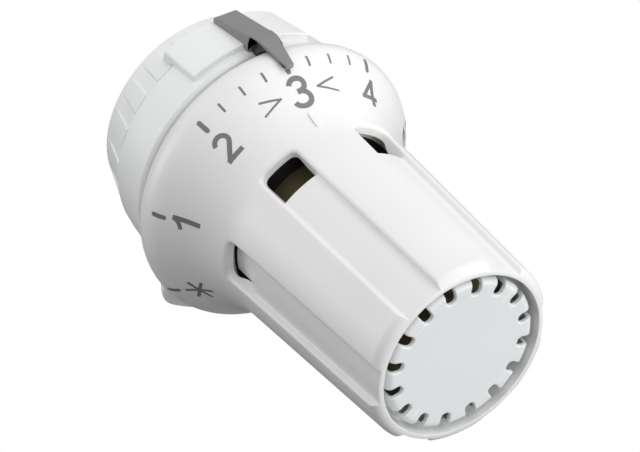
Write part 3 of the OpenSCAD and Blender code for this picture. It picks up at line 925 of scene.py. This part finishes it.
def coupling_grip():
    """Grip ring. Its flutes are shallow cuts that fade out towards the thread mouth."""
    edge = edge_stations(FLUTE_LIP, FLUTE_FOOT)
    mean = (RING_REAR_R + RING_FRONT_R) / 2
    half = math.radians(FLUTE_HALF) * mean
    side = np.concatenate([edge, [0.4, 0.9, half]])
    s, sign = mirrored(side)
    cut_cw = sign * np.degrees((half - s) / mean)
    cut_depth = step_depth(s, FLUTE_DEPTH, FLUTE_LIP, FLUTE_FOOT)
    pitch = 360 / FLUTES
    land = np.linspace(cut_cw[-1], cut_cw[0] + pitch, 8)[1:-1]
    cw = np.concatenate([np.concatenate([cut_cw, land]) + FLUTE_START + i * pitch
                         for i in range(FLUTES)])
    depth = np.tile(np.concatenate([cut_depth, 0 * land]), FLUTES)
    cone = [(float(np.interp(z, [RING_BEVEL, RING_LEN], [RING_REAR_R, RING_FRONT_R])), z, 0)
            for z in np.linspace(1.0, RING_LEN - 0.6, 14)]
    outer = rounded([(RING_STEP_R, 0, 0), (RING_REAR_R - RING_BEVEL, 0, 0.15),
                     (RING_REAR_R, RING_BEVEL, 0.15), *cone, (RING_FRONT_R, RING_LEN, 0.2),
                     (RING_WEB_R, RING_LEN, 0)], closed=False)
    inner = rounded([(RING_WEB_R, RING_LEN, 0), (NUT_R, RING_LEN), (NUT_R, 0),
                     (RING_STEP_R, 0, 0)], 0.15, closed=False)[1:-1]
    p = np.array(outer)
    ramp = np.interp(p[:, 1], FLUTE_FADE, [0, 1])
    fade = ramp * ramp * (3 - 2 * ramp)
    fade[-1] = 0
    skin = at(p[:, :1] - depth[None, :] * fade[:, None], cw[None, :], p[:, 1:2])
    piece("coupling_grip", *grid(np.concatenate([skin, turned(inner, cw)])), "coupling",
          "base_plastic", "grip_ring")


def threaded(profile, r, pitch, starts, depth, rows_per_pitch=14, columns=192):
    """A closed revolved outline whose stretch at radius r carries a screw thread of that depth."""
    p = [tuple(q) for q in profile]
    out = []
    for a, b in zip(p, p[1:] + p[:1]):
        out.append(a)
        if abs(a[0] - r) < 1e-6 and abs(b[0] - r) < 1e-6:
            steps = int(abs(b[1] - a[1]) / pitch * rows_per_pitch)
            out += [(r, z) for z in np.linspace(a[1], b[1], steps + 1)[1:-1]]
    q = np.array(out)
    on_thread = np.abs(q[:, 0:1] - r) < 1e-6
    low, high = q[on_thread[:, 0], 1].min(), q[on_thread[:, 0], 1].max()
    cw = np.arange(columns) * 360 / columns
    phase = (q[:, 1:2] / pitch - starts * cw[None, :] / 360) % 1
    shape = np.clip((np.minimum(phase, 1 - phase) - 0.12) / 0.28, 0, 1)
    ends = np.clip(np.minimum(q[:, 1:2] - low, high - q[:, 1:2]) / (0.4 * pitch), 0, 1)
    radius = q[:, 0:1] + np.where(on_thread, depth * shape * ends, 0)
    return grid(at(radius, cw[None, :], q[:, 1:2]))


def coupling_thread():
    outline = rounded([(THREAD_R, 0.6, 0), (14.9, 0, 0.1), (NUT_R, 0), (NUT_R, 11.5), (12.5, 11.5),
                       (12.5, 9.9), (15.2, 9.9, 0.3), (15.2, 7.3, 0.3), (THREAD_R, 6.8, 0)], 0.12)
    piece("coupling_thread", *threaded(outline, THREAD_R, THREAD_PITCH, 1, THREAD_DEPTH),
          "coupling", "brass", "nut_insert")


def gland_sleeve():
    outline = rounded([(10.2, SEAT_Z), (14, SEAT_Z), (14, 9.6), (FLANGE_R, 9.6),
                       (FLANGE_R, DECK_Z), (10.2, DECK_Z)], 0.2)
    piece("gland_sleeve", *spun(outline), "base", "steel", "seat_sleeve")


def cage():
    disc = spun(rounded([(11, DECK_Z), (COLLAR_R, DECK_Z), (COLLAR_R, 18), (11, 18)], 0.25))
    arm = rounded([(12.5, 17.8), (14.2, 17.8, 0.1), (14.2, 36.4), (12.5, 36.4)], 0.4)
    arms = [wedge(arm, 90 * i, 22) for i in range(4)]
    piece("guide_cage_frame", *joined(disc, *arms), "base", "black_plastic", "guide_cage")


def swept(points, radius, sides=14):
    """A round wire along points, with domed ends."""
    p = np.array(points, float)
    d = np.gradient(p, axis=0)
    d /= np.linalg.norm(d, axis=1, keepdims=True)
    up = np.array([0.0, 1.0, 0.0])
    a = np.cross(d, up)
    a /= np.linalg.norm(a, axis=1, keepdims=True)
    b = np.cross(d, a)
    turn = np.linspace(0, 2 * math.pi, sides, endpoint=False)
    loops = []
    dome = np.linspace(0, math.pi / 2, 4)
    for t in dome[:-1]:
        loops.append((p[0] - d[0] * radius * math.cos(t), a[0], b[0], radius * math.sin(t)))
    loops += [(p[i], a[i], b[i], radius) for i in range(len(p))]
    for t in dome[:-1][::-1]:
        loops.append((p[-1] + d[-1] * radius * math.cos(t), a[-1], b[-1], radius * math.sin(t)))
    rings = [c + r * (np.cos(turn)[:, None] * x + np.sin(turn)[:, None] * y)
             for c, x, y, r in loops]
    return grid(np.array(rings), wrap_rows=False)


def wire_ring():
    cw = np.linspace(-164, 164, 160)
    piece("snap_wire", *swept(at(22.6, cw, WIRE_Z), 0.7 * MM), "base", "steel", "retaining_wire")


def pins():
    seat = PAD_Z[0]
    outline = rounded([(0, seat - 0.9, 0), (1.5, seat - 0.9, 0.3), (1.5, seat, 0.1),
                       (0.95, seat, 0.05), (0.95, seat + 7, 0.2), (0, seat + 7, 0)], closed=False)
    parts = []
    for side in (-1, 1):
        verts, faces = spun(outline, closed=False, segments=40)
        place = at(23.1, 180 + 15 * side, 0)
        parts.append((verts + place, faces))
    piece("range_pins", *joined(*parts), "base", "pointer_plastic", "limit_pins")


# ---------------------------------------------------------------- inner works

def adjusting_sleeve():
    outline = rounded([
        (SLEEVE_BORE_R, 24), (16.1, 24), (16.1, SLEEVE_STEP_Z, 0.1), (BORE_R, SLEEVE_STEP_Z),
        (BORE_R, 36.3), (SLEEVE_BORE_R, 36.3)
    ], 0.15)
    exact = [(SLEEVE_BORE_R if abs(r - SLEEVE_BORE_R) < 1e-4 else r, z) for r, z in outline]
    sleeve = threaded(exact, SLEEVE_BORE_R, SLEEVE_PITCH, SLEEVE_STARTS, SLEEVE_THREAD_DEPTH)
    piece("adjusting_sleeve", *sleeve, "handle", "black_plastic", "thread_sleeve")


def carriage():
    hub = spun(rounded([
        (6.5, 31), (11, 31), (11, CARRIAGE_Z), (12.2, CARRIAGE_Z), (12.2, CARRIAGE_FRONT),
        (CAN_R, CARRIAGE_FRONT), (CAN_R, CAN_REAR), (6.5, CAN_REAR)
    ], 0.15))
    sectors = [wedge(carriage_teeth(), 45 + 90 * i, 64) for i in range(4)]
    piece("carriage_body", *joined(hub, *sectors), "sensor", "black_plastic", "carriage_nut")


def carriage_teeth():
    crest, root = SLEEVE_BORE_R - 0.2, SLEEVE_BORE_R - 0.8
    outline = [(12.0, CARRIAGE_FRONT, 0.2), (12.0, CARRIAGE_Z, 0.2), (crest, CARRIAGE_Z, 0.2)]
    for z in np.arange(CARRIAGE_Z + 1, CARRIAGE_FRONT - 1, SLEEVE_PITCH):
        outline += [(crest, z, 0.1), (root, z + 0.15, 0.1), (root, z + 0.75, 0.1),
                    (crest, z + 0.9, 0.1)]
    return rounded(outline + [(crest, CARRIAGE_FRONT, 0.2)])


def can():
    skin = rounded([
        (CAN_BORE_R, CAN_REAR, 0.05), (CAN_R, CAN_REAR, 0.1), (CAN_R, CAN_FRONT, 1.6),
        (7.0, CAN_FRONT, 1), (6.2, CAN_FRONT - 0.6, 1), (0, CAN_FRONT - 0.6, 0)
    ], steps=8, closed=False)
    inside = rounded([
        (0, CAN_FRONT - 1.1, 0), (6.4, CAN_FRONT - 1.1, 0.5), (7.2, CAN_FRONT - 0.5, 0.5),
        (CAN_BORE_R, CAN_FRONT - 0.5, 1.1), (CAN_BORE_R, CAN_REAR, 0)
    ], steps=6, closed=False)
    piece("can_shell", *spun(skin + inside[:-1]), "sensor", "sensor_metal", "sensor_can")


def can_floor():
    bore_r = ROD_R + 0.05
    outline = rounded([(bore_r, CAN_REAR), (CAN_BORE_R, CAN_REAR), (CAN_BORE_R, BELLOWS_Z),
                       (4.2, BELLOWS_Z), (4.2, 41, 0.4), (bore_r, 41)], 0.2)
    piece("can_floor", *spun(outline), "sensor", "sensor_metal", "can_base")


def plug():
    outline = rounded([(0, 71.2, 0), (2.2, 71.2, 0.1), (2.2, 73.5, 0.3), (1.2, 73.5, 0.2),
                       (1.2, 74.2, 0.3), (0, 74.2, 0)], closed=False)
    piece("can_plug", *spun(outline, closed=False, segments=64), "sensor", "steel",
          "filling_plug")


def folded_tube():
    stations = np.linspace(BELLOWS_Z, BELLOWS_FRONT, 2 * FOLDS + 1)
    skin = [(9.4 if i % 2 else 7.2, z) for i, z in enumerate(stations)]
    inside = [(r - 0.4, z) for r, z in skin]
    outline = rounded(skin, 0.5, closed=False) + rounded(inside, 0.5, closed=False)[::-1]
    piece("bellows_tube", *spun(outline, segments=120), "sensor", "bronze", "bellows")


def coil(mean_r, wire, z_from, z_to, turns):
    """Points of a compression spring with closed ends."""
    t = np.linspace(0, turns, int(turns * 36) + 1)
    closed = 0.8
    length = z_to - z_from - 2 * wire
    flat = 2.05 * wire * closed
    z = np.interp(t, [0, closed, turns - closed, turns], [0, flat, length - flat, length])
    return at(mean_r, 360 * t, z_from + wire + z)


def springs():
    piece("return_spring", *swept(coil(5.5, 0.5, BELLOWS_Z, BELLOWS_FRONT, 9), 0.5 * MM), "sensor",
          "steel", "bellows_spring")
    piece("safety_spring", *swept(coil(3.1, 0.4, CUP_Z + CUP_FLOOR, ROD_REAR, 4), 0.4 * MM),
          "thrust", "steel", "overtravel_spring")


def push_rod():
    rod = rounded([(0, ROD_REAR, 0), (3.4, ROD_REAR, 0.2), (3.4, ROD_REAR + 0.9, 0.15),
                   (ROD_R, ROD_REAR + 0.9, 0.1), (ROD_R, LID_FRONT, 0.3), (0, LID_FRONT, 0)],
                  closed=False)
    piece("push_rod", *spun(rod, closed=False, segments=72), "plunger", "steel", "plunger_rod")
    lid = rounded([(ROD_R, BELLOWS_FRONT), (8.2, BELLOWS_FRONT), (8.2, LID_FRONT),
                   (ROD_R, LID_FRONT)], 0.3)
    piece("bellows_lid", *spun(lid, segments=120), "plunger", "bronze", "bellows_cap")


def cup():
    floor_z = CUP_Z + CUP_FLOOR
    outline = rounded([
        (0, CUP_Z, 0), (3.2, CUP_Z, 0.3), (4.8, CUP_Z + 0.7, 0.6), (4.8, CUP_FRONT, 0.25),
        (3.8, CUP_FRONT, 0.15), (3.8, floor_z, 0.3), (0, floor_z, 0)
    ], closed=False)
    piece("thrust_cup_body", *spun(outline, closed=False, segments=96), "thrust", "brass",
          "thrust_cup")
    clip_z = CUP_FRONT - 1.1
    clip = rounded([(2.6, clip_z), (3.8, clip_z), (3.8, CUP_FRONT), (2.6, CUP_FRONT)], 0.15)
    piece("cup_clip", *spun(clip, segments=96), "thrust", "steel", "cup_retainer")


for make in (dial_handle, dial_markings, front_cap, housing, pointer_wedge, pointer_shade_web, coupling_grip,
             coupling_thread, gland_sleeve, cage, wire_ring, pins, adjusting_sleeve, carriage, can,
             can_floor, plug, folded_tube, springs, push_rod, cup):
    make()

# ---------------------------------------------------------------- stage

def floor():
    """A pale floor well below the head. It shows as plain white and bounces a softer light."""
    bpy.ops.mesh.primitive_plane_add(size=8, location=(0, 0, FLOOR_Z))
    ground = bpy.context.object
    ground.name = "floor"
    paper = bpy.data.materials.new("paper")
    paper.use_nodes = True
    tree, shader = nodes_of(paper)
    shader.inputs["Base Color"].default_value = (0.14, 0.14, 0.14, 1)
    shader.inputs["Roughness"].default_value = 0.9
    shader.inputs["Specular IOR Level"].default_value = 0
    seen = tree.nodes.new("ShaderNodeEmission")
    seen.inputs["Color"].default_value = (1, 1, 1, 1)
    path = tree.nodes.new("ShaderNodeLightPath")
    mix = tree.nodes.new("ShaderNodeMixShader")
    tree.links.new(path.outputs["Is Camera Ray"], mix.inputs[0])
    tree.links.new(shader.outputs[0], mix.inputs[1])
    tree.links.new(seen.outputs[0], mix.inputs[2])
    tree.links.new(mix.outputs[0], tree.nodes["Material Output"].inputs["Surface"])
    ground.data.materials.append(paper)


def studio():
    """A white room whose light comes mostly from the upper right."""
    world = bpy.data.worlds.new("studio")
    bpy.context.scene.world = world
    world.use_nodes = True
    tree = world.node_tree
    room = tree.nodes["Background"]
    room.inputs["Color"].default_value = (1, 1, 1, 1)
    coords = tree.nodes.new("ShaderNodeTexCoord")
    dot = tree.nodes.new("ShaderNodeVectorMath")
    dot.operation = "DOT_PRODUCT"
    dot.inputs[1].default_value = Vector(SKY_AXIS).normalized()
    tree.links.new(coords.outputs["Generated"], dot.inputs[0])
    ramp = tree.nodes.new("ShaderNodeMapRange")
    ramp.inputs["From Min"].default_value = SKY_DARK
    ramp.inputs["To Min"].default_value = 0
    ramp.inputs["To Max"].default_value = SKY_HIGH
    tree.links.new(dot.outputs["Value"], ramp.inputs["Value"])
    tree.links.new(ramp.outputs["Result"], room.inputs["Strength"])
    plain = tree.nodes.new("ShaderNodeBackground")
    plain.inputs["Color"].default_value = (1, 1, 1, 1)
    path = tree.nodes.new("ShaderNodeLightPath")
    mix = tree.nodes.new("ShaderNodeMixShader")
    tree.links.new(path.outputs["Is Camera Ray"], mix.inputs[0])
    tree.links.new(room.outputs[0], mix.inputs[1])
    tree.links.new(plain.outputs[0], mix.inputs[2])
    tree.links.new(mix.outputs[0], tree.nodes["World Output"].inputs["Surface"])
    bpy.context.scene.view_settings.view_transform = "Standard"


def light(name, direction, distance, size, power):
    data = bpy.data.lights.new(name, "AREA")
    data.size = size
    data.energy = power
    lamp = bpy.data.objects.new(name, data)
    bpy.context.scene.collection.objects.link(lamp)
    d = Vector(direction).normalized()
    lamp.location = Vector(CENTRE) * MM + d * distance
    lamp.rotation_euler = d.to_track_quat("Z", "Y").to_euler()


def camera():
    data = bpy.data.cameras.new("camera")
    data.sensor_width = 36
    data.lens = LENS
    data.clip_end = 20
    cam = bpy.data.objects.new("camera", data)
    bpy.context.scene.collection.objects.link(cam)
    axes = np.array([RIGHT, UP, BACK])
    place = CENTRE + CAMERA_PLACE @ axes
    turn = Matrix(axes).transposed()
    cam.matrix_world = Matrix.Translation(Vector(place) * MM) @ turn.to_4x4()
    bpy.context.scene.camera = cam


floor()
studio()
camera()
light("key", (0.5, -0.3, 1.0), distance=0.7, size=0.35, power=0.5)
light("rear_left", (-1.0, 0.9, 0.1), distance=0.6, size=0.3, power=0.9)
light("front_right", (0.5, -0.85, 0.1), distance=0.7, size=0.5, power=2.4)

for slot_of in frame["record"]["subparts"]:
    node = frame["nodes"][slot_of["node"]]
    node.data.materials.clear()
    node.data.materials.append(MATERIALS[slot_of["material_slot"]])
